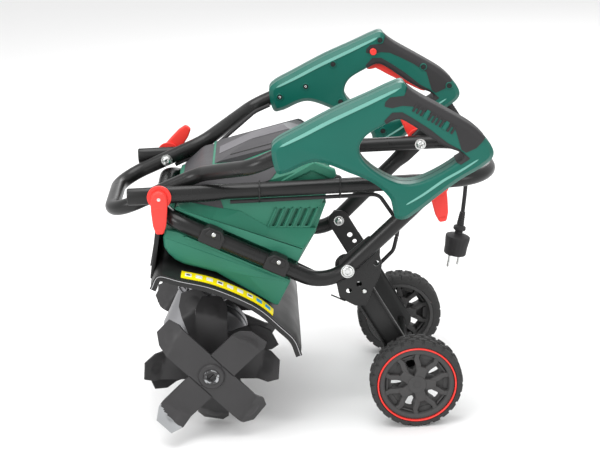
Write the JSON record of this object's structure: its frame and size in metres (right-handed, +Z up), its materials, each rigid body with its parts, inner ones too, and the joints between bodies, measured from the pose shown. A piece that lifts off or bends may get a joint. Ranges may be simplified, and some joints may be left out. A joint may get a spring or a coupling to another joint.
{
  "type": "folding electric tiller",
  "caption": "Folding electric tiller: motor housing over tine stars under a fender, swing-down wheels, and a folded tube frame with two D-shaped handles.",
  "frame": {"origin": "middle of the base of the bounding box, taken without the lead and plug", "axes": "+X to the rear, along the folded frame; +Y to the right side, away from the viewer of the side view; +Z up. Stands on its wheels and lowest tines."},
  "size_m": [0.549, 0.377, 0.5053],
  "materials": {
    "tube": "satin black powder coat",
    "green": "satin green moulding",
    "grey": "satin grey moulding",
    "black": "satin black moulding",
    "copper": "varnished windings and laminations",
    "zinc": "bright zinc plate",
    "cast": "as cast, satin",
    "tine": "dark grey powder coat, worn bright at the tips",
    "brass": "machined bronze",
    "tyreGrey": "dark grey moulding",
    "red": "red moulding",
    "softBlack": "matt black overmould and cable skin"
  },
  "bodies": {
    "chassis": {"lower_frame_tube": "tube", "frame_clamp_front_left": "black", "frame_clamp_front_right": "black", "frame_clamp_rear_left": "black", "frame_clamp_rear_right": "black", "housing_left": "green", "housing_right": "green", "motor_cap": "grey", "lower_cover_left": "green", "lower_cover_right": "green", "fender": "black", "gearbox_left": "cast", "gearbox_right": "cast", "motor_stator": "copper", "wheel_pivot_bolt_left": "zinc", "wheel_pivot_bolt_right": "zinc", "rear_pivot_bolt_left": "zinc", "rear_pivot_bolt_right": "zinc", "motor_cable_lower": "softBlack"},
    "rotor": {"motor_rotor": "zinc"},
    "tines": {"tine_shaft": "tine", "worm_wheel": "brass", "tine_star_left_1": "tine", "tine_star_left_2": "tine", "tine_star_left_3": "tine", "tine_star_right_1": "tine", "tine_star_right_2": "tine", "tine_star_right_3": "tine"},
    "carriage": {"carriage_leg_left": "black", "carriage_leg_right": "black", "wheel_axle": "zinc", "index_pin": "zinc"},
    "wheel_left": {"wheel_rim_left": "tyreGrey", "wheel_tyre_left": "tyreGrey", "wheel_ring_left": "red"},
    "wheel_right": {"wheel_rim_right": "tyreGrey", "wheel_tyre_right": "tyreGrey", "wheel_ring_right": "red"},
    "middle_frame": {"middle_frame_tube": "tube", "motor_cable_middle": "softBlack"},
    "handle_bar": {"handle_bar_tube": "tube", "front_pivot_bolt_left": "zinc", "front_pivot_bolt_right": "zinc", "handle_shell_outer_left": "green", "handle_shell_outer_right": "green", "handle_shell_inner_left": "green", "handle_shell_inner_right": "green", "grip_left": "softBlack", "grip_right": "softBlack", "switch_body": "black", "strain_relief": "softBlack", "power_cord": "softBlack", "plug": "softBlack", "motor_cable_upper": "softBlack"},
    "trigger": {"trigger": "red"},
    "lock_button": {"lock_button": "red"},
    "lever_front_left": {"cam_lever_front_left": "red"},
    "lever_front_right": {"cam_lever_front_right": "red"},
    "lever_rear_left": {"cam_lever_rear_left": "red"},
    "lever_rear_right": {"cam_lever_rear_right": "red"}
  },
  "joints": [
    {"name": "tine_spin", "type": "hinge", "parent": "chassis", "child": "tines", "pos_m": [-0.13694, 0, 0.09738], "axis": [0, 1, 0], "continuous": true},
    {"name": "rotor_spin", "type": "hinge", "parent": "chassis", "child": "rotor", "pos_m": [-0.17423, 0, 0.11671], "axis": [0.4602, 0, 0.8878], "continuous": true},
    {"name": "carriage_swing", "type": "hinge", "parent": "chassis", "child": "carriage", "pos_m": [0.05819, 0, 0.23134], "axis": [0, -1, 0], "range_deg": [0, 64]},
    {"name": "wheel_left_spin", "type": "hinge", "parent": "carriage", "child": "wheel_left", "pos_m": [0.14795, -0.13, 0.06493], "axis": [0, 1, 0], "continuous": true},
    {"name": "wheel_right_spin", "type": "hinge", "parent": "carriage", "child": "wheel_right", "pos_m": [0.14795, 0.13, 0.06493], "axis": [0, 1, 0], "continuous": true},
    {"name": "rear_fold", "type": "hinge", "parent": "chassis", "child": "middle_frame", "pos_m": [0.18375, 0, 0.34655], "axis": [0, 1, 0], "range_deg": [0, 112]},
    {"name": "front_fold", "type": "hinge", "parent": "middle_frame", "child": "handle_bar", "pos_m": [-0.19263, 0, 0.34728], "axis": [0, -1, 0], "range_deg": [0, 158]},
    {"name": "trigger_pull", "type": "hinge", "parent": "handle_bar", "child": "trigger", "pos_m": [0.11464, 0.169, 0.45193], "axis": [0, -1, 0], "range_deg": [0, 2.4], "stiffness_Nm_per_rad": 0.15},
    {"name": "lock_press", "type": "slide", "parent": "handle_bar", "child": "lock_button", "axis": [0, 1, 0], "range_m": [0, 0.003], "stiffness_N_per_m": 400},
    {"name": "lever_front_left_open", "type": "hinge", "parent": "handle_bar", "child": "lever_front_left", "pos_m": [-0.19211, -0.1141, 0.35827], "axis": [-0.9989, 0, 0.0471], "range_deg": [0, 88]},
    {"name": "lever_front_right_open", "type": "hinge", "parent": "handle_bar", "child": "lever_front_right", "pos_m": [-0.1998, 0.1141, 0.33895], "axis": [-0.7581, 0, 0.6521], "range_deg": [0, 88]},
    {"name": "lever_rear_left_open", "type": "hinge", "parent": "chassis", "child": "lever_rear_left", "pos_m": [0.18235, -0.1227, 0.35746], "axis": [-0.9919, 0, -0.1271], "range_deg": [0, 55]},
    {"name": "lever_rear_right_open", "type": "hinge", "parent": "chassis", "child": "lever_rear_right", "pos_m": [0.1888, 0.1227, 0.33678], "axis": [-0.8886, 0, -0.4586], "range_deg": [0, 18]}
  ],
  "couplings": [
    {"joint": "rotor_spin", "follows": "tine_spin", "ratio": 30},
    {"joint": "front_fold", "follows": "rear_fold", "ratio": 1.4107}
  ]
}
